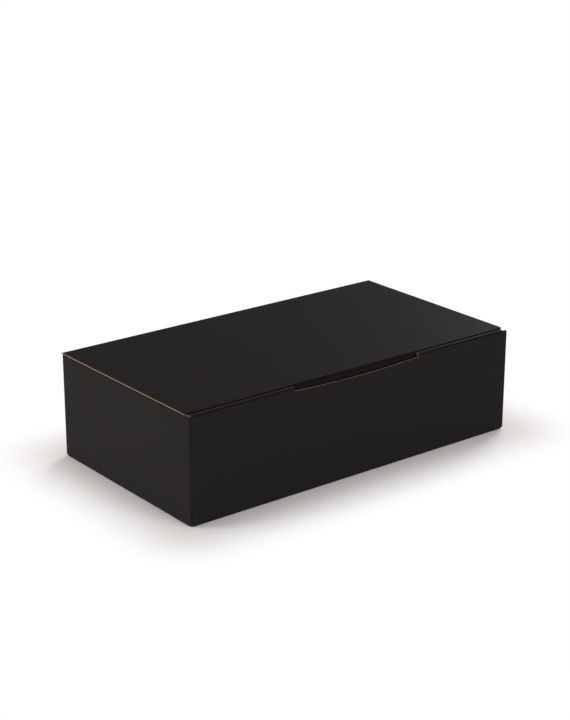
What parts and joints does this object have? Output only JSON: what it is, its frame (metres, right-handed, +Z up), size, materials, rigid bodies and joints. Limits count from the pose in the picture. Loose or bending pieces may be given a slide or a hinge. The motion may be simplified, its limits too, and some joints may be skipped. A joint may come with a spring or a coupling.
{
  "type": "wine box",
  "caption": "Flat folded carton that holds wine bottles side by side, with a hinged tuck lid, a rolled front wall with a thumb notch, and a loose card divider.",
  "frame": {"origin": "middle of the underside, on the surface that the box stands on", "axes": "+X along the length of the box and its bottles, to the right as seen from the notched front wall; +Y to the hinged back wall; +Z up"},
  "size_m": [0.33, 0.181, 0.091],
  "materials": {
    "tray_board": "matt black print outside, bare kraft inside and on the cut edges",
    "divider_board": "bare kraft on both sides",
    "lid_board": "matt black print outside, bare kraft inside and on the cut edges"
  },
  "bodies": {
    "carton": {"tray": "tray_board", "divider": "divider_board"},
    "lid": {"lid": "lid_board"}
  },
  "joints": [
    {"name": "lid_hinge", "type": "hinge", "parent": "carton", "child": "lid", "pos_m": [0, 0.08975, 0.09025], "axis": [-1, 0, 0], "range_deg": [0, 180]}
  ]
}
